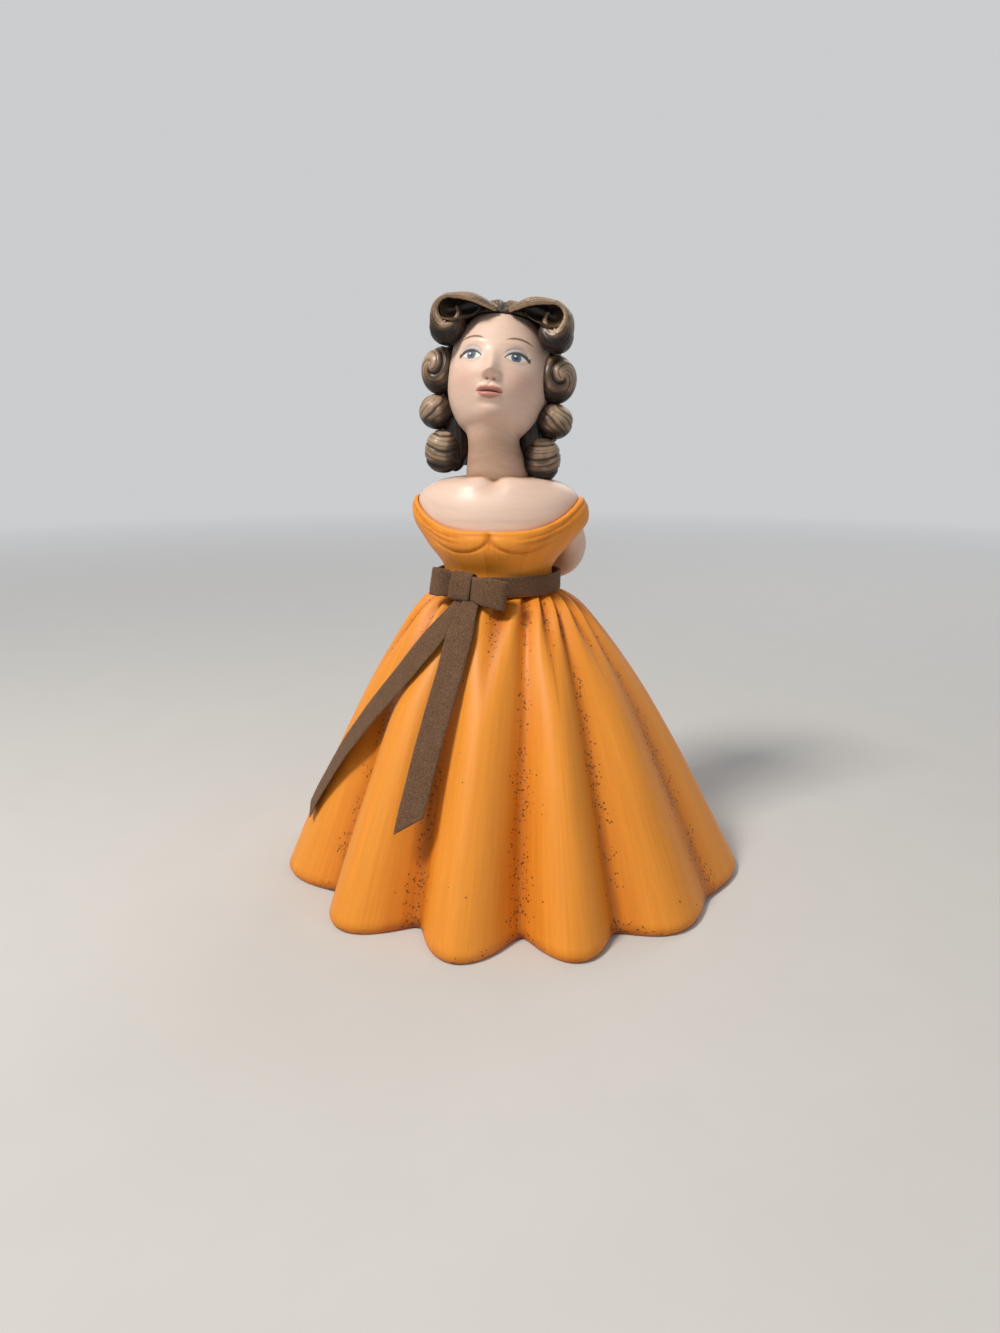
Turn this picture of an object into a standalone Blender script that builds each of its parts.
"""Ceramic lady figurine with a ribbon sash, as separate solid pieces.

Metres, +Z up. The lady faces -Y and her left hand is on +X. The middle of the hem is the origin.
Angles round the figure start at the front and turn towards her left.
"""

import math
from collections import namedtuple

import bmesh
import bpy
from mathutils import Matrix, Vector

MM = 0.001
GAP = 0.3 * MM  # slip joint left open between neighbouring pieces

# Skirt casting
SKIRT_HEIGHT = 124.5 * MM
HEM_WIDTH = 205.0 * MM
HEM_DEPTH = 216.0 * MM
HEM_ROUND = 3.0 * MM
SKIRT_WALL = 4.5 * MM
SKIRT_SPREAD = 0.45  # under 1 the bell spreads fast below the waist
SPREAD_SHARE = 0.5  # the rest of its spread is straight
DECK_THICKNESS = 7.0 * MM
VENT_RADIUS = 8.0 * MM
FOLD_ROUND = 0.06  # how round the bottom of a fold is, where 0 is a sharp crease
GATHER_DEPTH = 3.0 * MM
GATHER_FADE = 0.19  # share of the height over which the waist gathers die out
WAIST_SHIFT_X = -8.7 * MM  # the waist stands off the middle of the hem
WAIST_SHIFT_Y = 3.0 * MM

# Each fold of the skirt: its angle at the hem and at the waist, and how deep it is at the hem
Pleat = namedtuple("Pleat", "hem_angle waist_angle depth")
PLEATS = (
    Pleat(-89, -84, 13 * MM),
    Pleat(-50, -45, 15 * MM),
    Pleat(-19, -16, 20 * MM),
    Pleat(10, 41, 21 * MM),
    Pleat(35, 72, 14 * MM),
    Pleat(66, 100, 6 * MM),
    Pleat(105, 125, 13 * MM),
    Pleat(137, 148, 15 * MM),
    Pleat(169, 176, 16 * MM),
    Pleat(203, 207, 15 * MM),
    Pleat(237, 241, 14 * MM),
)

# Body under the gown: height above the waist, half width, front and back
Station = namedtuple("Station", "height half_width front back")
WAIST = Station(0.0 * MM, 23.0 * MM, 19.0 * MM, 18.0 * MM)
MIDRIFF = Station(9.5 * MM, 21.2 * MM, 19.5 * MM, 18.0 * MM)
BUST = Station(22.5 * MM, 29.5 * MM, 24.5 * MM, 19.5 * MM)
BAND = Station(33.5 * MM, 35.5 * MM, 23.5 * MM, 20.0 * MM)
SHOULDER = Station(39.0 * MM, 36.0 * MM, 21.0 * MM, 19.0 * MM)
NECK_SEAT = Station(50.5 * MM, 14.4 * MM, 13.0 * MM, 12.8 * MM)
DRAIN_RADIUS = 11.5 * MM

BODY_STEPS = 40  # facets round the body
CHEST_ROWS = 6

# Bodice casting
BODICE_ROWS = 8
BODICE_WALL = 2.2 * MM
BODICE_FIT = 0.6 * MM  # clearance of the bodice round the body core
NECKLINE_FRONT = 29.0 * MM  # above the waist
NECKLINE_SIDE = 42.0 * MM

# Head casting, with the neck
HEAD_HALF_WIDTH = 22.5 * MM
HEAD_FRONT = 25.0 * MM
HEAD_BACK = 25.0 * MM
HEAD_CROWN = 29.0 * MM  # above the middle of the head
HEAD_CHIN = 28.0 * MM  # below the middle of the head
HEAD_TILT = 20.0  # degrees, looking up
HEAD_LEAN = 4.5  # degrees, the crown towards her left
HEAD_RISE = 41.5 * MM  # middle of the head above the neck seat
HEAD_SET_BACK = 4.0 * MM
NECK_HALF_WIDTH = 14.2 * MM
NECK_HALF_DEPTH = 12.0 * MM
NECK_BORE = 5.0 * MM
JAW_POLAR = 152.0  # degrees from the crown, where the neck leaves the head
CROWN_POLARS = (10.0, 24.0, 38.0, 52.0, 64.0)  # coarse rows of facets over the crown
FACE_POLAR = 72.0  # finer rows from here down
FACE_SPAN = 52.0  # degrees to each side of the face with finer facets
SKULL_HOLLOW = 11.5 * MM

# Face, set out on the head's height: eyes halfway, nose and mouth below them
NOSE_LENGTH = 11.0 * MM
NOSE_RISE = 4.0 * MM
NOSE_HALF_WIDTH = 2.7 * MM
EYE_APART = 19.0 * MM
EYE_HOLLOW = 1.5 * MM
MOUTH_DROP = 14.5 * MM  # below the eyes
LIP_RISE = 1.5 * MM
CHIN_RISE = 2.2 * MM
CHEEK_RISE = 1.0 * MM

# Hair
HAIR_THICKNESS = 2.6 * MM
CAP_FIT = 0.7 * MM  # between the hair and the skull
HAIRLINE_FRONT = 45.0  # degrees from the crown
HAIRLINE_BACK = 126.0
TEMPLE_START = 60.0  # degrees round from the face, where the hairline turns down
TEMPLE_END = 116.0
ROLL_OUT = 21.5 * MM  # hollow of a front roll from the middle of the head
ROLL_UP = 26.1 * MM  # above the middle of the head
ROLL_SHIFT = 0.8 * MM  # both rolls towards her left
ROLL_DEPTH = 20.0 * MM
ROLL_FRONT = 19.5 * MM  # front edge of a roll before the middle of the head
ROLL_HOLLOW = 9.0 * MM  # how deep the roll is open from the front
ROLL_BEVEL = 2.2 * MM
PARTING_GAP = 2.2 * MM  # end of a roll from the middle of the head
PARTING_UP = 2.0 * MM  # top of the hair at the parting above the hollow
PARTING_HEIGHT = 3.0 * MM
SWEPT_TOP = Vector((-9.0 * MM, 6.8 * MM))  # highest place of the hair between the parting and the hollow
HOLLOW_TAIL = Vector((-9.5 * MM, 1.4 * MM))  # where the hollow runs out towards the parting
SWEPT_UNDERSIDE = Vector((-9.0 * MM, -1.6 * MM))  # lower side of the hair below that place
ROLL_BODY_END = -140.0  # degrees round the hollow, where the roll goes into the head
ROLL_STEP = 18.0  # degrees between the points of its outline

# Front roll seen from the front: angle round its hollow, and reach of the hair's outside and inside
Reach = namedtuple("Reach", "angle outer inner")
ROLL_REACHES = (
    Reach(125.0, 7.4 * MM, 3.6 * MM),
    Reach(90.0, 5.9 * MM, 3.2 * MM),
    Reach(45.0, 6.0 * MM, 3.5 * MM),
    Reach(0.0, 7.7 * MM, 4.0 * MM),
    Reach(-45.0, 11.0 * MM, 3.9 * MM),
    Reach(-75.0, 15.0 * MM, 3.5 * MM),
    Reach(-100.0, 12.4 * MM, 3.2 * MM),
    Reach(-130.0, 6.8 * MM, 2.8 * MM),
    Reach(-165.0, 4.4 * MM, 2.4 * MM),
    Reach(-190.0, 3.4 * MM, 2.2 * MM),
)

# Curls beside the face: half width, depth and height, and how far out each one stands
Curl = namedtuple("Curl", "half_width half_depth half_height out forward")
UPPER_CURL = Curl(8.2 * MM, 8.6 * MM, 9.8 * MM, 25.2 * MM, 4.0 * MM)
MIDDLE_CURL = Curl(7.6 * MM, 8.2 * MM, 7.2 * MM, 25.8 * MM, 4.0 * MM)
LOWER_CURL = Curl(7.8 * MM, 7.8 * MM, 9.0 * MM, 21.8 * MM, 4.5 * MM)
CURLS_TOP = 11.0 * MM  # top of the upper curl above the middle of the head
RINGLET_RADIUS = 5.9 * MM
RINGLET_LENGTH = 33.0 * MM
RINGLET_PITCH = 12.4 * MM
RINGLET_FOOT = 1.0 * MM  # above the neck seat
RINGLET_BACK = 17.0 * MM  # behind the middle of the neck

# Arms drawn behind the back: places from the waist middle, and the limb's radius there
Joint = namedtuple("Joint", "out back up radius")
ARM_PATH = (
    Joint(27.0 * MM, 2.0 * MM, 32.5 * MM, 7.0 * MM),
    Joint(32.3 * MM, 9.0 * MM, 23.5 * MM, 6.9 * MM),
    Joint(30.5 * MM, 19.0 * MM, 13.5 * MM, 6.6 * MM),
    Joint(25.0 * MM, 25.5 * MM, 8.0 * MM, 6.0 * MM),
    Joint(15.0 * MM, 29.5 * MM, 5.0 * MM, 5.0 * MM),
    Joint(6.5 * MM, 30.5 * MM, 4.2 * MM, 4.2 * MM),
)
ARM_TUCK = 5.5 * MM  # how much closer to the body the right arm lies
ARM_TUCK_REACH = 25.0 * MM  # places at least this far out are moved by the whole of it
HAND_LENGTH = 12.0 * MM
HAND_WIDTH = 9.0 * MM
HAND_THICKNESS = 6.4 * MM

# Ribbon
RIBBON_WIDTH = 12.0 * MM
RIBBON_THICKNESS = 1.0 * MM
SASH_WIDTH = 8.6 * MM  # the ribbon is folded lengthwise round the waist
SASH_THICKNESS = 1.6 * MM
SASH_LIFT = 1.0 * MM  # lower edge of the sash above the waist
BOW_ANGLE = -21.0  # degrees round the waist
BOW_SLOPE = -5.0  # degrees, its left loop rides higher
BOW_TILT = 10.5  # degrees, the foot of the bow stands out over the gathers
KNOT_WIDTH = 10.2 * MM
KNOT_HEIGHT = 12.6 * MM
KNOT_DEPTH = 5.6 * MM
KNOT_ROUND = 1.4 * MM
LOOP_LEFT_LENGTH = 8.4 * MM
LOOP_RIGHT_LENGTH = 15.0 * MM
LOOP_OPENING = 6.2 * MM
LOOP_START = 1.3 * MM  # fold of a loop from the knot's side
LOOP_FORWARD = 0.6 * MM  # middle of a loop before the middle of the knot
TAIL_STANDOFF = 0.6 * MM
TAIL_PINCH = 4.4 * MM  # width of a tail where it leaves the knot

# Each loose end: angle at the knot and at its tip, share of the skirt height, and its slanted cut
Tail = namedtuple("Tail", "start_angle end_angle start end slant")
TAIL_LEFT = Tail(-23.5, -67.0, 0.036, 0.765, -2.0 * MM)
TAIL_RIGHT = Tail(-13.5, -19.5, 0.036, 0.65, 4.2 * MM)
TAIL_SWEEP = 1.5  # how soon a tail turns aside on its way down

COLOURS = {
    "gown": (0.80, 0.27, 0.04, 1.0),
    "skin": (0.80, 0.58, 0.46, 1.0),
    "hair": (0.12, 0.075, 0.045, 1.0),
    "ribbon": (0.11, 0.05, 0.02, 1.0),
}


def start_scene():
    """Empties the scene and makes the collections for parts and cutters."""
    for thing in list(bpy.data.objects):
        bpy.data.objects.remove(thing, do_unlink=True)
    groups = []
    for name in ("ceramic_lady_figurine", "cutters"):
        group = bpy.data.collections.new(name)
        bpy.context.scene.collection.children.link(group)
        groups.append(group)
    return groups


def add_part(name, mesh, group, finish, location=(0.0, 0.0, 0.0)):
    """Adds a mesh to the scene as one named part with its own material."""
    part = bpy.data.objects.new(name, mesh)
    part.location = location
    group.objects.link(part)
    material = bpy.data.materials.new(f"{name}_{finish}")
    material.use_nodes = True
    shader = material.node_tree.nodes["Principled BSDF"]
    shader.inputs["Base Color"].default_value = COLOURS[finish]
    shader.inputs["Roughness"].default_value = 0.9 if finish == "ribbon" else 0.4
    mesh.materials.clear()
    mesh.materials.append(material)
    return part


def add_cutter(name, mesh, group):
    """Adds a mesh that is only used to cut other parts."""
    cutter = bpy.data.objects.new(name, mesh)
    cutter.hide_render = True
    cutter.display_type = "WIRE"
    group.objects.link(cutter)
    return cutter


def cut(part, cutter):
    """Takes the cutter away from the part."""
    boolean = part.modifiers.new(f"less_{cutter.name}", "BOOLEAN")
    boolean.operation = "DIFFERENCE"
    boolean.solver = "EXACT"
    boolean.object = cutter


def loft(name, rings, wrap=False, first_pole=None, last_pole=None):
    """Skins rings of equally many points; the ends wrap round, close on a point or get a cap."""
    shape = bmesh.new()
    rows = [[shape.verts.new(point) for point in ring] for ring in rings]
    count = len(rows[0])
    pairs = list(zip(rows, rows[1:]))
    if wrap:
        pairs.append((rows[-1], rows[0]))
    for above, below in pairs:
        for i in range(count):
            j = (i + 1) % count
            shape.faces.new((above[i], below[i], below[j], above[j]))
    if not wrap:
        for row, pole in ((rows[0], first_pole), (rows[-1], last_pole)):
            if pole is None:
                shape.faces.new(row)
                continue
            tip = shape.verts.new(pole)
            for i in range(count):
                shape.faces.new((row[i], row[(i + 1) % count], tip))
    return finish_mesh(name, shape)


def finish_mesh(name, shape):
    """Turns a bmesh into a mesh whose faces look outwards."""
    bmesh.ops.recalc_face_normals(shape, faces=shape.faces)
    mesh = bpy.data.meshes.new(name)
    shape.to_mesh(mesh)
    shape.free()
    return mesh


def ease(share):
    """Smooth step from 0 to 1."""
    share = min(max(share, 0.0), 1.0)
    return share * share * (3.0 - 2.0 * share)


def mix(first, second, share):
    """Straight blend of two numbers or vectors."""
    return first * (1.0 - share) + second * share


def heading(angle):
    """Unit vector, level, at an angle round the figure in degrees."""
    turn = math.radians(angle)
    return Vector((math.sin(turn), -math.cos(turn), 0.0))


def waist_middle():
    """Middle of the waist, on top of the skirt."""
    return Vector((WAIST_SHIFT_X, WAIST_SHIFT_Y, SKIRT_HEIGHT))


def oval(angle, half_width, front, back):
    """Point of an oval section at an angle round the figure."""
    way = heading(angle)
    depth = front if way.y < 0.0 else back
    return Vector((way.x * half_width, way.y * depth, 0.0))


class SkirtForm:
    """The fluted bell: gathered at the waist and spreading in folds to the hem."""

    def __init__(self):
        """Fits the fluted hem into its width and depth."""
        self.scale = Vector((1.0, 1.0, 1.0))
        self.shift = Vector((0.0, 0.0, 0.0))
        steps = 40 * len(PLEATS)
        rim = 1.0 - HEM_ROUND / SKIRT_HEIGHT
        hem = [self.surface(i / 40.0, rim) for i in range(steps)]
        low_x, high_x = min(p.x for p in hem), max(p.x for p in hem)
        low_y, high_y = min(p.y for p in hem), max(p.y for p in hem)
        self.scale = Vector((HEM_WIDTH / (high_x - low_x), HEM_DEPTH / (high_y - low_y), 1.0))
        self.shift = Vector(
            (-self.scale.x * (low_x + high_x) / 2.0, -self.scale.y * (low_y + high_y) / 2.0, 0.0)
        )

    def hem_fit(self, point):
        """Moves a point of the plain hem to where the fitted hem has it."""
        return point * self.scale + self.shift

    @staticmethod
    def spread(fall):
        """Share of the way out from the waist to the hem, a share of the way down."""
        return mix(fall, fall**SKIRT_SPREAD, SPREAD_SHARE)

    def envelope(self, waist_angle, hem_angle, fall):
        """Point on the bell without folds, a share of the way down from the waist."""
        wall = BODICE_FIT + BODICE_WALL
        top = waist_middle() + oval(
            waist_angle, WAIST.half_width + wall, WAIST.front + wall, WAIST.back + wall
        )
        way = heading(hem_angle)
        hem = self.hem_fit(Vector((way.x * HEM_WIDTH / 2.0, way.y * HEM_DEPTH / 2.0, 0.0)))
        point = mix(top, hem, self.spread(fall))
        point.z = SKIRT_HEIGHT * (1.0 - fall)
        return point

    def middle(self, fall):
        """Middle of the bell at that height."""
        point = mix(waist_middle(), Vector((0.0, 0.0, 0.0)), self.spread(fall))
        point.z = SKIRT_HEIGHT * (1.0 - fall)
        return point

    def surface(self, place, fall, gathers=1.0):
        """Point on the fluted face; place counts the folds round from the first one."""
        count = len(PLEATS)
        index = int(place) % count
        share = place - int(place)
        here, there = PLEATS[index], PLEATS[(index + 1) % count]
        turn = 360.0 if index + 1 == count else 0.0
        hem_angle = mix(here.hem_angle, there.hem_angle + turn, share)
        waist_angle = mix(here.waist_angle, there.waist_angle + turn, share)
        point = self.envelope(waist_angle, hem_angle, fall)
        wave = math.sin(math.pi * share)
        root = math.sqrt(FOLD_ROUND)
        crest = (math.sqrt(wave * wave + FOLD_ROUND) - root) / (math.sqrt(1.0 + FOLD_ROUND) - root)
        depth = mix(here.depth, there.depth, ease(share)) * (1.0 - crest) * fall**0.8
        ripple = abs(math.sin(2.0 * math.pi * share))
        fade = math.exp(-fall / GATHER_FADE)
        depth += GATHER_DEPTH * (1.0 - ripple) * fade * gathers
        inward = self.middle(fall) - point
        return point + inward.normalized() * depth * self.scale.x

    def slope(self, fall):
        """How much longer the wall is across than square to the face."""
        step = 0.01
        near, far = self.envelope(90, 90, fall), self.envelope(90, 90, fall + step)
        return math.hypot(far.x - near.x, far.z - near.z) / abs(far.z - near.z)

    def inner(self, place, fall):
        """Point on the inside of the wall."""
        point = self.surface(place, fall, gathers=0.0)
        inward = self.middle(fall) - point
        return point + inward.normalized() * SKIRT_WALL * self.slope(fall)


def build_skirt(group, form):
    """Hollow fluted skirt, open below, with a deck and a vent hole at the waist."""
    steps, rows = 8, 11
    places = [i / steps for i in range(steps * len(PLEATS))]
    hem_fall = 1.0 - HEM_ROUND / SKIRT_HEIGHT
    deck_fall = DECK_THICKNESS / SKIRT_HEIGHT
    rings = []
    for row in range(rows + 1):
        fall = hem_fall * (row / rows) ** 1.7
        rings.append([form.surface(place, fall) for place in places])
    for inset, height in ((0.3, 0.3), (1.0, 0.0)):
        ring = []
        for place in places:
            point = form.surface(place, 1.0 - HEM_ROUND * height / SKIRT_HEIGHT)
            inward = (form.middle(1.0) - point).normalized()
            point = point + inward * HEM_ROUND * 0.7 * inset
            point.z = HEM_ROUND * height
            ring.append(point)
        rings.append(ring)
    for row in range(7):
        fall = mix(1.0, deck_fall, row / 6)
        rings.append([form.inner(place, fall) for place in places])
    for height in (SKIRT_HEIGHT - DECK_THICKNESS, SKIRT_HEIGHT):
        ring = []
        for place in places:
            way = form.surface(place, 0.0) - waist_middle()
            way.z = 0.0
            point = waist_middle() + way.normalized() * VENT_RADIUS
            point.z = height
            ring.append(point)
        rings.append(ring)
    return add_part("skirt", loft("skirt", rings, wrap=True), group, "gown")


def torso_section(height, swell=0.0):
    """Half width, front and back of the body at a height above the waist."""
    stations = (WAIST, MIDRIFF, BUST, BAND, SHOULDER)
    if height >= SHOULDER.height:
        rise = (height - SHOULDER.height) / (NECK_SEAT.height - SHOULDER.height)
        share = math.sqrt(max(1.0 - rise * rise, 0.0))
        sizes = [mix(top, base, share) for base, top in zip(SHOULDER[1:], NECK_SEAT[1:])]
        return [size + swell for size in sizes]
    for below, above in zip(stations, stations[1:]):
        if height <= above.height:
            share = ease((height - below.height) / (above.height - below.height))
            return [mix(a, b, share) + swell for a, b in zip(below[1:], above[1:])]
    return [size + swell for size in SHOULDER[1:]]


def neckline(angle):
    """Height of the bodice's upper edge above the waist."""
    side = abs(math.sin(math.radians(angle)))
    return mix(NECKLINE_FRONT, NECKLINE_SIDE, side**4)


def chest_ring(share, count, swell=0.0, lift=0.0):
    """Ring of the bare chest and shoulders, a share of the way from the neckline to the neck."""
    ring = []
    for i in range(count):
        angle = 360.0 * i / count
        height = mix(neckline(angle), NECK_SEAT.height, math.sin(math.pi / 2.0 * share))
        sizes = torso_section(height, swell)
        ring.append(waist_middle() + oval(angle, *sizes) + Vector((0.0, 0.0, height + lift)))
    return ring


def bodice_ring(share, count, swell):
    """Ring of the bodice, a share of the way up to its neckline."""
    ring = []
    for i in range(count):
        angle = 360.0 * i / count
        height = mix(GAP, neckline(angle), share)
        sizes = torso_section(height, swell)
        ring.append(waist_middle() + oval(angle, *sizes) + Vector((0.0, 0.0, height)))
    return ring


def build_bust(group):
    """Body core with chest, shoulders and a seat for the neck, drained by a bore."""
    rings = [bodice_ring(row / BODICE_ROWS, BODY_STEPS, 0.0) for row in range(BODICE_ROWS + 1)]
    rings += [chest_ring(row / CHEST_ROWS, BODY_STEPS) for row in range(1, CHEST_ROWS + 1)]
    for height, radius in (
        (NECK_SEAT.height, NECK_BORE),
        (SHOULDER.height, NECK_BORE),
        (BAND.height, DRAIN_RADIUS),
        (GAP, DRAIN_RADIUS),
    ):
        middle = waist_middle() + Vector((0.0, 0.0, height))
        ring = [middle + heading(360.0 * i / BODY_STEPS) * radius for i in range(BODY_STEPS)]
        rings.append(ring)
    return add_part("bust", loft("bust", rings, wrap=True), group, "skin")


def build_bodice(group):
    """Shell of the bodice round the body core, up to the off-the-shoulder neckline."""
    shares = [row / BODICE_ROWS for row in range(BODICE_ROWS + 1)]
    rings = [bodice_ring(share, BODY_STEPS, BODICE_FIT + BODICE_WALL) for share in shares]
    rings += [bodice_ring(share, BODY_STEPS, BODICE_FIT) for share in reversed(shares)]
    return add_part("bodice", loft("bodice", rings, wrap=True), group, "gown")


def gown_volume(group):
    """Space taken by the bodice and all it holds, for cutting what touches it."""
    wall = BODICE_FIT + BODICE_WALL + 2.0 * GAP
    rings = [bodice_ring(row / BODICE_ROWS, BODY_STEPS, wall) for row in range(BODICE_ROWS + 1)]
    top = waist_middle() + Vector((0.0, 0.0, NECKLINE_SIDE))
    base = waist_middle() + Vector((0.0, 0.0, GAP))
    mesh = loft("gown_volume", rings, first_pole=base, last_pole=top)
    return add_cutter("gown_volume", mesh, group)


def shoulder_volume(group):
    """Space taken by the shoulders, for cutting the curls that lie on them."""
    rings = [chest_ring(row / CHEST_ROWS, BODY_STEPS, GAP, GAP) for row in range(CHEST_ROWS + 1)]
    return add_cutter("shoulder_volume", loft("shoulder_volume", rings), group)


def neck_seat():
    """Middle of the neck where it meets the shoulders."""
    return waist_middle() + Vector((0.0, 0.0, NECK_SEAT.height + GAP))


def hair_matrix():
    """Upright frame at the middle of the head, leaning sideways with it."""
    middle = neck_seat() + Vector((0.0, HEAD_SET_BACK, HEAD_RISE))
    lean = Matrix.Rotation(math.radians(HEAD_LEAN), 4, "Y")
    return Matrix.Translation(middle) @ lean


def head_matrix():
    """Place, lean and tilt of the head."""
    return hair_matrix() @ Matrix.Rotation(math.radians(-HEAD_TILT), 4, "X")


def mound(across, up, half_width, half_height):
    """Rounded hill that is 1 in the middle and fades out."""
    return math.exp(-((across / half_width) ** 2) - (up / half_height) ** 2)


def face_relief(across, up):
    """How far the face stands out at a place on it, from between the eyes."""
    out = abs(across)
    down = min(max(-up / NOSE_LENGTH + 0.35, 0.0), 1.0)
    foot = 1.0 - ease((-up - 0.62 * NOSE_LENGTH) / (0.28 * NOSE_LENGTH))
    rise = NOSE_RISE * down**1.3 * foot * math.exp(-((out / NOSE_HALF_WIDTH) ** 2))
    rise -= EYE_HOLLOW * mound(out - EYE_APART / 2.0, up, 5.0 * MM, 3.4 * MM)
    rise += CHEEK_RISE * mound(out - 11.5 * MM, up + 9.5 * MM, 6.0 * MM, 5.5 * MM)
    rise += LIP_RISE * mound(out, up + MOUTH_DROP, 6.5 * MM, 3.2 * MM)
    rise += CHIN_RISE * mound(out, up + 1.55 * MOUTH_DROP, 6.5 * MM, 4.0 * MM)
    return rise


def head_point(polar, azimuth, swell=0.0):
    """Point on the egg of the head; polar runs down from the crown, azimuth from the face."""
    fall, turn = math.radians(polar), math.radians(azimuth)
    up = (HEAD_CROWN if polar < 90.0 else HEAD_CHIN) + swell
    depth = (HEAD_FRONT if math.cos(turn) > 0.0 else HEAD_BACK) + swell
    girth = math.sin(fall) ** (0.92 if polar < 90.0 else 0.78)
    local = Vector(
        (
            (HEAD_HALF_WIDTH + swell) * girth * math.sin(turn),
            -depth * girth * math.cos(turn),
            up * math.cos(fall),
        )
    )
    if math.cos(turn) > 0.2:
        local.y -= face_relief(local.x, local.z) * ease((math.cos(turn) - 0.2) / 0.4)
    return head_matrix() @ local


def throat_point(azimuth, share, swell=0.0):
    """Point between the jaw and the foot of the neck."""
    jaw = head_point(JAW_POLAR, azimuth, swell)
    lead = (jaw - head_point(JAW_POLAR - 2.0, azimuth, swell)).normalized()
    foot = neck_seat() + oval(
        azimuth, NECK_HALF_WIDTH + swell, NECK_HALF_DEPTH + swell, NECK_HALF_DEPTH + swell
    )
    reach = 0.7 * (foot - jaw).length
    down = Vector((0.0, 0.0, -1.0))
    h = share
    return (
        jaw * (2 * h**3 - 3 * h**2 + 1)
        + lead * reach * (h**3 - 2 * h**2 + h)
        + foot * (3 * h**2 - 2 * h**3)
        + down * reach * (h**3 - h**2)
    )


def build_head(group):
    """Head and neck in one casting, hollow, with the drain at the foot of the neck."""
    columns, rows = 20, 15
    angles = [mix(-FACE_SPAN, FACE_SPAN, i / columns) for i in range(columns)]
    angles += [mix(FACE_SPAN, 360.0 - FACE_SPAN, i / columns) for i in range(columns)]
    polars = list(CROWN_POLARS) + [mix(FACE_POLAR, JAW_POLAR, i / rows) for i in range(rows + 1)]
    rings = []
    for polar in polars:
        rings.append([head_point(polar, angle) for angle in angles])
    for row in range(1, 5):
        rings.append([throat_point(angle, row / 4) for angle in angles])
    middle = head_matrix().translation
    for share, radius in (
        (0.0, NECK_BORE),
        (0.45, NECK_BORE),
        (0.7, 0.8 * SKULL_HOLLOW),
        (1.0, SKULL_HOLLOW),
        (1.2, 0.8 * SKULL_HOLLOW),
    ):
        heart = mix(neck_seat(), middle, share)
        rings.append([heart + heading(angle) * radius for angle in angles])
    mesh = loft(
        "head",
        rings,
        first_pole=head_point(0.0, 0.0),
        last_pole=mix(neck_seat(), middle, 1.3),
    )
    return add_part("head", mesh, group, "skin")


def hairline(azimuth):
    """Polar angle down to which the hair covers the head."""
    turn = abs((azimuth + 180.0) % 360.0 - 180.0)
    return mix(HAIRLINE_FRONT, HAIRLINE_BACK, ease((turn - TEMPLE_START) / (TEMPLE_END - TEMPLE_START)))


def hair_lift(share):
    """Height of the hair over the skull, thinning out to the hairline."""
    return HAIR_THICKNESS * (1.0 - 0.45 * ease((share - 0.6) / 0.4))


def build_hair_cap(group):
    """Hair over the skull as a shell that ends at the hairline."""
    count, rows = 36, 8
    angles = [360.0 * i / count for i in range(count)]
    rings = []
    for row in range(1, rows + 1):
        share = row / rows
        rings.append(
            [head_point(share * hairline(a), a, CAP_FIT + hair_lift(share)) for a in angles]
        )
    for row in range(rows, 0, -1):
        rings.append([head_point(row / rows * hairline(a), a, CAP_FIT) for a in angles])
    mesh = loft(
        "hair_cap",
        rings,
        first_pole=head_point(0.0, 0.0, CAP_FIT + hair_lift(0.0)),
        last_pole=head_point(0.0, 0.0, CAP_FIT),
    )
    return add_part("hair_cap", mesh, group, "hair")


def head_volume(group):
    """Space taken by the head with its hair and neck, for cutting the hair set against them."""
    count, rows, throat_rows = 36, 16, 4
    fit = CAP_FIT + 1.5 * GAP
    angles = [360.0 * i / count for i in range(count)]
    rings = []
    for row in range(1, rows + 1):
        polar = JAW_POLAR * row / rows
        ring = []
        for angle in angles:
            share = polar / (hairline(angle) + 10.0)
            lift = hair_lift(share - 0.08) if share < 1.0 else 0.0
            ring.append(head_point(polar, angle, fit + lift))
        rings.append(ring)
    for row in range(1, throat_rows + 1):
        rings.append([throat_point(angle, row / throat_rows, fit) for angle in angles])
    crown = head_point(0.0, 0.0, fit + hair_lift(0.0))
    mesh = loft("head_volume", rings, first_pole=crown)
    return add_cutter("head_volume", mesh, group)


def roll_reach(angle):
    """Reach of the outside and the inside of a front roll at an angle round its hollow."""
    for here, there in zip(ROLL_REACHES, ROLL_REACHES[1:]):
        if angle >= there.angle:
            share = (here.angle - angle) / (here.angle - there.angle)
            return mix(here.outer, there.outer, ease(share)), mix(here.inner, there.inner, ease(share))
    return ROLL_REACHES[-1][1:]


def roll_points(first, last, inside):
    """Points of a front roll's outside or inside between two angles round its hollow."""
    steps = 2 + int(abs(last - first) / ROLL_STEP)
    points = []
    for i in range(steps + 1):
        angle = mix(first, last, i / steps)
        turn = math.radians(angle)
        points.append(Vector((math.cos(turn), math.sin(turn))) * roll_reach(angle)[inside])
    return points


def roll_body_outline():
    """Outline of a front roll seen from the front, filled."""
    inner = -ROLL_OUT + PARTING_GAP
    upper = Vector((inner, PARTING_UP))
    lower = Vector((inner, PARTING_UP - PARTING_HEIGHT))
    around = roll_points(ROLL_REACHES[0].angle, ROLL_BODY_END, inside=False)
    return [upper, SWEPT_TOP] + around + [SWEPT_UNDERSIDE, lower]


def roll_hollow_outline():
    """Outline of the comma-shaped hollow that the rolled hair leaves open."""
    end = ROLL_REACHES[-1].angle
    around = roll_points(ROLL_REACHES[0].angle, end, inside=True)
    back = roll_points(end, -180.0, inside=False)
    return around + back + [HOLLOW_TAIL]


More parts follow.
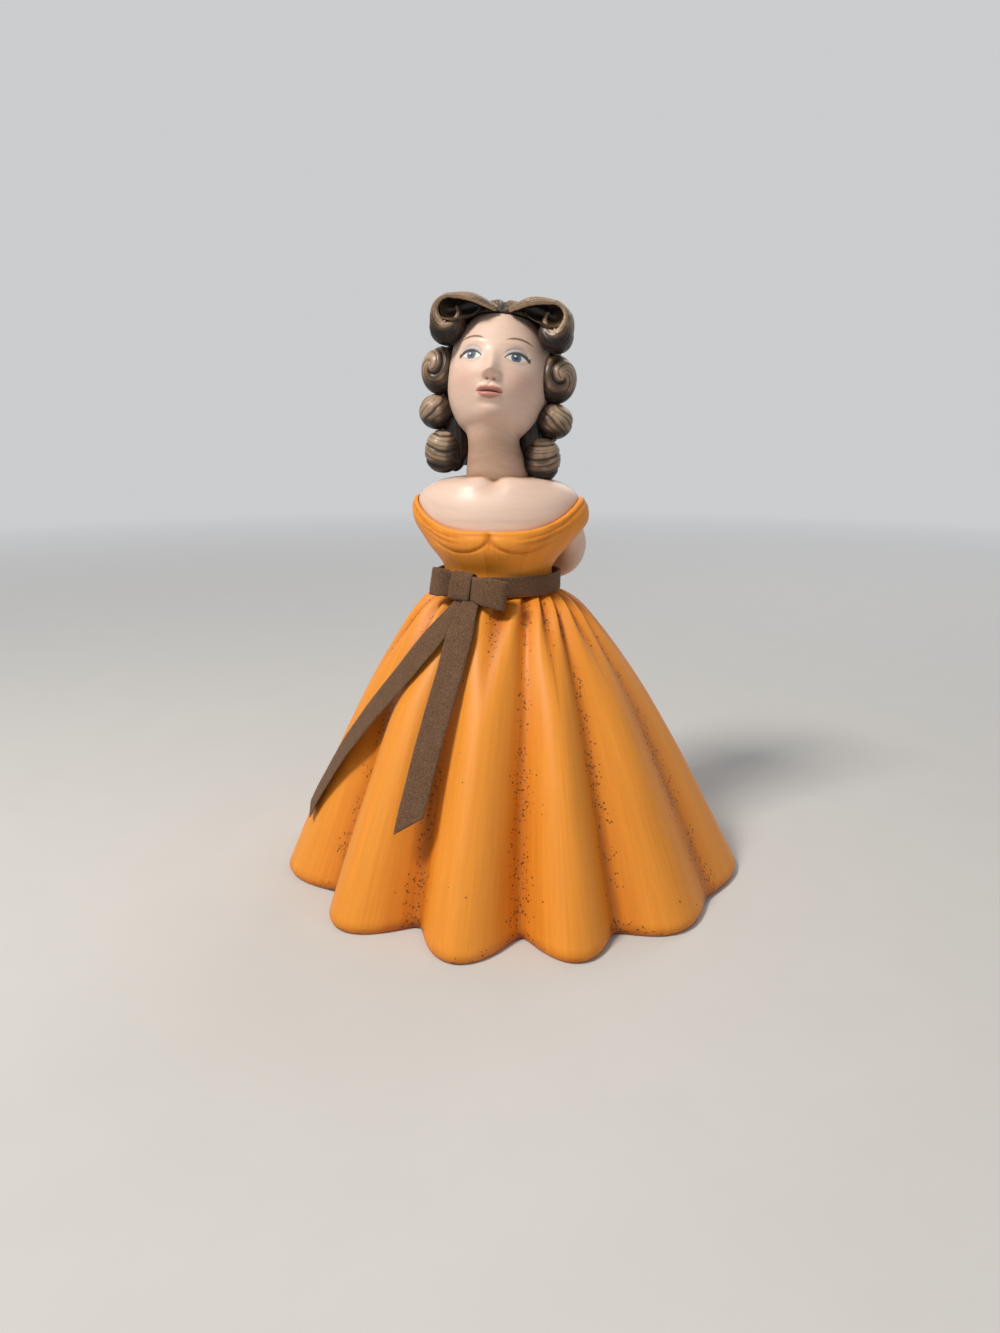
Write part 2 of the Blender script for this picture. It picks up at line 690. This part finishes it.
def extruded(name, outline, side, near, far):
    """Solid of an outline drawn in the front view, between two depths before the head's middle."""
    shape = bmesh.new()
    rows = []
    for depth in (near, far):
        place = Vector((ROLL_SHIFT + side * ROLL_OUT, -depth, ROLL_UP))
        around = [hair_matrix() @ (place + Vector((p.x * side, 0.0, p.y))) for p in outline]
        rows.append([shape.verts.new(point) for point in around])
    count = len(outline)
    for i in range(count):
        j = (i + 1) % count
        shape.faces.new((rows[0][i], rows[1][i], rows[1][j], rows[0][j]))
    for row in rows:
        shape.faces.new(row)
    return finish_mesh(name, shape)


def build_front_roll(group, cutters, side, head_cutter):
    """Open roll of hair beside the parting; its spiral hollow shows from the front."""
    name = "front_roll_left" if side > 0 else "front_roll_right"
    body = extruded(name, roll_body_outline(), side, ROLL_FRONT, ROLL_FRONT - ROLL_DEPTH)
    roll = add_part(name, body, group, "hair")
    rounded = roll.modifiers.new("rounded", "BEVEL")
    rounded.width = ROLL_BEVEL
    rounded.segments = 2
    rounded.limit_method = "ANGLE"
    rounded.angle_limit = math.radians(60.0)
    hollow = extruded(
        f"{name}_hollow", roll_hollow_outline(), side, ROLL_FRONT + ROLL_BEVEL, ROLL_FRONT - ROLL_HOLLOW
    )
    cut(roll, add_cutter(f"{name}_hollow", hollow, cutters))
    cut(roll, head_cutter)
    return roll


def curl_middles():
    """Heights of the middles of the three curls from the head's, stacked under the front roll."""
    top = CURLS_TOP
    heights = []
    for curl in (UPPER_CURL, MIDDLE_CURL, LOWER_CURL):
        top -= GAP
        heights.append(top - curl.half_height)
        top -= 2.0 * curl.half_height
    return heights


def build_curls(group, side, head_cutter, shoulder_cutter):
    """Three curls down one side of the face, the lowest one lying on the shoulder."""
    word = "left" if side > 0 else "right"
    curls = (("upper", UPPER_CURL), ("middle", MIDDLE_CURL), ("lower", LOWER_CURL))
    for (rank, curl), height in zip(curls, curl_middles()):
        name = f"{rank}_curl_{word}"
        shape = bmesh.new()
        bmesh.ops.create_uvsphere(shape, u_segments=14, v_segments=9, radius=1.0)
        size = Vector((curl.half_width, curl.half_depth, curl.half_height))
        bmesh.ops.scale(shape, vec=size, verts=shape.verts)
        place = Vector((side * curl.out, -curl.forward, height))
        bmesh.ops.translate(shape, vec=place, verts=shape.verts)
        shape.transform(hair_matrix())
        part = add_part(name, finish_mesh(name, shape), group, "hair")
        cut(part, head_cutter)
        if rank == "lower":
            cut(part, shoulder_cutter)


def build_back_ringlets(group, head_cutter):
    """Row of hanging ringlets at the nape, each one turned."""
    count, bulges = 4, 3
    for index in range(count):
        name = f"back_ringlet_{index + 1}"
        out = (index - (count - 1) / 2.0) * RINGLET_PITCH
        place = neck_seat() + Vector((out, RINGLET_BACK, RINGLET_FOOT))
        shape = bmesh.new()
        steps = 12
        profile = []
        for i in range(steps + 1):
            share = i / steps
            swell = 0.86 + 0.14 * abs(math.sin(math.pi * bulges * share))
            body = math.sin(math.pi * share) ** 0.35 if 0 < i < steps else 0.0
            point = (RINGLET_RADIUS * body * swell, 0.0, RINGLET_LENGTH * (1.0 - share))
            profile.append(shape.verts.new(point))
        for above, below in zip(profile, profile[1:]):
            shape.edges.new((above, below))
        mesh = bpy.data.meshes.new(name)
        shape.to_mesh(mesh)
        shape.free()
        part = add_part(name, mesh, group, "hair", place)
        turned = part.modifiers.new("turned", "SCREW")
        turned.axis = "Z"
        turned.steps = turned.render_steps = 12
        turned.use_merge_vertices = True
        turned.merge_threshold = 1e-5
        cut(part, head_cutter)


def arm_out(joint, side):
    """Distance of a place on an arm from the middle of the body."""
    tuck = ARM_TUCK if side < 0 else 0.0
    return joint.out - tuck * ease(joint.out / ARM_TUCK_REACH)


def build_arm(group, side, gown_cutter):
    """Arm drawn behind the back, ending in a hand."""
    name = "left_arm" if side > 0 else "right_arm"
    path = bpy.data.curves.new(f"{name}_path", "CURVE")
    path.dimensions = "3D"
    path.bevel_depth = 1.0
    path.bevel_resolution = 2
    path.use_fill_caps = True
    path.resolution_u = 4
    spline = path.splines.new("NURBS")
    spline.points.add(len(ARM_PATH) - 1)
    for target, joint in zip(spline.points, ARM_PATH):
        target.co = (side * arm_out(joint, side), joint.back, joint.up, 1.0)
        target.radius = joint.radius
    spline.order_u = 3
    spline.use_endpoint_u = True
    drawn = bpy.data.objects.new(f"{name}_path", path)
    mesh = bpy.data.meshes.new_from_object(drawn)
    bpy.data.objects.remove(drawn)
    shape = bmesh.new()
    shape.from_mesh(mesh)
    bmesh.ops.remove_doubles(shape, verts=shape.verts, dist=1e-6)
    shape.transform(Matrix.Translation(waist_middle()))
    arm = add_part(name, finish_mesh(name, shape), group, "skin")
    cut(arm, gown_cutter)
    hand = add_hand(arm, side)
    return arm, hand


def add_hand(arm, side):
    """Joins a hand to the end of an arm."""
    end = ARM_PATH[-1]
    shape = bmesh.new()
    bmesh.ops.create_uvsphere(shape, u_segments=12, v_segments=8, radius=0.5)
    size = Vector((HAND_LENGTH, HAND_THICKNESS, HAND_WIDTH))
    bmesh.ops.scale(shape, vec=size, verts=shape.verts)
    reach = HAND_LENGTH / 2.0 + GAP
    place = waist_middle() + Vector((side * reach, end.back, end.up))
    bmesh.ops.translate(shape, vec=place, verts=shape.verts)
    name = f"{arm.name}_hand"
    hand = add_cutter(name, finish_mesh(name, shape), bpy.data.collections["cutters"])
    joined = arm.modifiers.new("hand", "BOOLEAN")
    joined.operation = "UNION"
    joined.solver = "EXACT"
    joined.object = hand
    return hand


def band_section(middle, outward, upward, thickness, width):
    """Four corners of a ribbon laid with its face along outward and its width along upward."""
    half_out, half_up = outward * thickness / 2.0, upward * width / 2.0
    return [
        middle - half_out - half_up,
        middle + half_out - half_up,
        middle + half_out + half_up,
        middle - half_out + half_up,
    ]


def sash_sizes():
    """Half width, front and back of the middle of the sash's thickness."""
    reach = BODICE_FIT + BODICE_WALL + 1.5 * GAP + SASH_THICKNESS / 2.0
    return [max(low, high) + reach for low, high in zip(WAIST[1:], MIDRIFF[1:])]


def build_sash(group):
    """Ribbon round the waist, over the seam between bodice and skirt."""
    count = 48
    rise = Vector((0.0, 0.0, SASH_LIFT + SASH_WIDTH / 2.0))
    up = Vector((0.0, 0.0, 1.0))
    rings = []
    for i in range(count):
        angle = 360.0 * i / count
        middle = waist_middle() + rise + oval(angle, *sash_sizes())
        rings.append(band_section(middle, heading(angle), up, SASH_THICKNESS, SASH_WIDTH))
    return add_part("waist_sash", loft("waist_sash", rings, wrap=True), group, "ribbon")


def bow_matrix():
    """Frame of the bow: X along the waist, Y into it, at the sash's outer face."""
    tilt = math.radians(BOW_TILT)
    standoff = SASH_THICKNESS / 2.0 + GAP + KNOT_HEIGHT / 2.0 * math.sin(tilt)
    place = waist_middle() + oval(BOW_ANGLE, *sash_sizes()) + heading(BOW_ANGLE) * standoff
    place.z += SASH_LIFT + SASH_WIDTH / 2.0
    turn = Matrix.Rotation(math.radians(BOW_ANGLE), 4, "Z") @ Matrix.Rotation(-tilt, 4, "X")
    return Matrix.Translation(place) @ turn


def build_knot(group):
    """Wrap of the bow, a rounded block standing on the sash."""
    shape = bmesh.new()
    bmesh.ops.create_cube(shape, size=1.0)
    bmesh.ops.scale(shape, vec=Vector((KNOT_WIDTH, KNOT_DEPTH, KNOT_HEIGHT)), verts=shape.verts)
    bmesh.ops.translate(shape, vec=Vector((0.0, -KNOT_DEPTH / 2.0, 0.0)), verts=shape.verts)
    shape.transform(bow_matrix())
    knot = add_part("bow_knot", finish_mesh("bow_knot", shape), group, "ribbon")
    rounded = knot.modifiers.new("rounded", "BEVEL")
    rounded.width = KNOT_ROUND
    rounded.segments = 2
    return knot


def build_loop(group, name, side, length):
    """Loop of the bow: a flattened ring of ribbon beside the knot."""
    count = 28
    slope = Matrix.Rotation(math.radians(-BOW_SLOPE), 4, "Y")
    across, deep = length / 2.0, LOOP_OPENING / 2.0
    start = KNOT_WIDTH / 2.0 + GAP + RIBBON_THICKNESS / 2.0 + LOOP_START
    frame = bow_matrix()
    up = (frame @ slope).to_3x3() @ Vector((0.0, 0.0, 1.0))
    rings = []
    for i in range(count):
        turn = 2.0 * math.pi * i / count
        bend = abs(math.cos(turn)) ** 0.8 * math.copysign(1.0, math.cos(turn))
        flat = Vector((side * (start + across * (1.0 + bend)), deep * math.sin(turn), 0.0))
        facing = Vector((side * math.cos(turn) / across, math.sin(turn) / deep, 0.0)).normalized()
        place = slope @ flat + Vector((0.0, -KNOT_DEPTH / 2.0 - LOOP_FORWARD, 0.0))
        outward = (frame @ slope).to_3x3() @ facing
        rings.append(band_section(frame @ place, outward, up, RIBBON_THICKNESS, RIBBON_WIDTH))
    return add_part(name, loft(name, rings, wrap=True), group, "ribbon")


def tail_bed(form, tail, share, beside=0.0):
    """Point of the bell under a tail, a share of the way to the tip, or degrees beside it."""
    turned = 1.0 - (1.0 - share) * abs(1.0 - share) ** (TAIL_SWEEP - 1.0)
    angle = mix(tail.start_angle, tail.end_angle, turned) + beside
    return form.envelope(angle, angle, mix(tail.start, tail.end, share))


def tail_line(form, tail, share):
    """Middle of a tail, its outward side and its run, a share of the way to the tip."""
    step = 0.01
    here = tail_bed(form, tail, share)
    beside = tail_bed(form, tail, share, 1.0) - here
    run = (tail_bed(form, tail, share + step) - tail_bed(form, tail, share - step)).normalized()
    outward = run.cross(beside).normalized()
    if outward.z < 0.0:
        outward = -outward
    middle = here + outward * (GAP + TAIL_STANDOFF + RIBBON_THICKNESS / 2.0)
    return middle, outward, run


def build_tail(group, form, name, tail):
    """Loose end of the ribbon lying on the skirt, hung at the knot on a level axis."""
    rows = 16
    hinge, _, _ = tail_line(form, tail, 0.0)
    rings = []
    for row in range(rows + 1):
        share = mix(0.012, 1.0, row / rows)
        middle, outward, run = tail_line(form, tail, share)
        across = run.cross(outward).normalized()
        width = mix(TAIL_PINCH, RIBBON_WIDTH, ease(share / 0.24))
        ring = band_section(middle - hinge, outward, across, RIBBON_THICKNESS, width)
        if row == rows:
            skew = run * tail.slant
            ring = [ring[0] - skew, ring[1] - skew, ring[2] + skew, ring[3] + skew]
        rings.append(ring)
    return add_part(name, loft(name, rings), group, "ribbon", hinge)


def main():
    """Builds every piece in its place."""
    parts, cutters = start_scene()
    form = SkirtForm()
    build_skirt(parts, form)
    build_bust(parts)
    build_bodice(parts)
    build_head(parts)
    build_hair_cap(parts)
    gown = gown_volume(cutters)
    shoulders = shoulder_volume(cutters)
    skull = head_volume(cutters)
    for side in (1.0, -1.0):
        build_front_roll(parts, cutters, side, skull)
        build_curls(parts, side, skull, shoulders)
        build_arm(parts, side, gown)
    build_back_ringlets(parts, skull)
    build_sash(parts)
    build_knot(parts)
    build_loop(parts, "bow_loop_right", 1.0, LOOP_RIGHT_LENGTH)
    build_loop(parts, "bow_loop_left", -1.0, LOOP_LEFT_LENGTH)
    build_tail(parts, form, "sash_tail_left", TAIL_LEFT)
    build_tail(parts, form, "sash_tail_right", TAIL_RIGHT)


main()
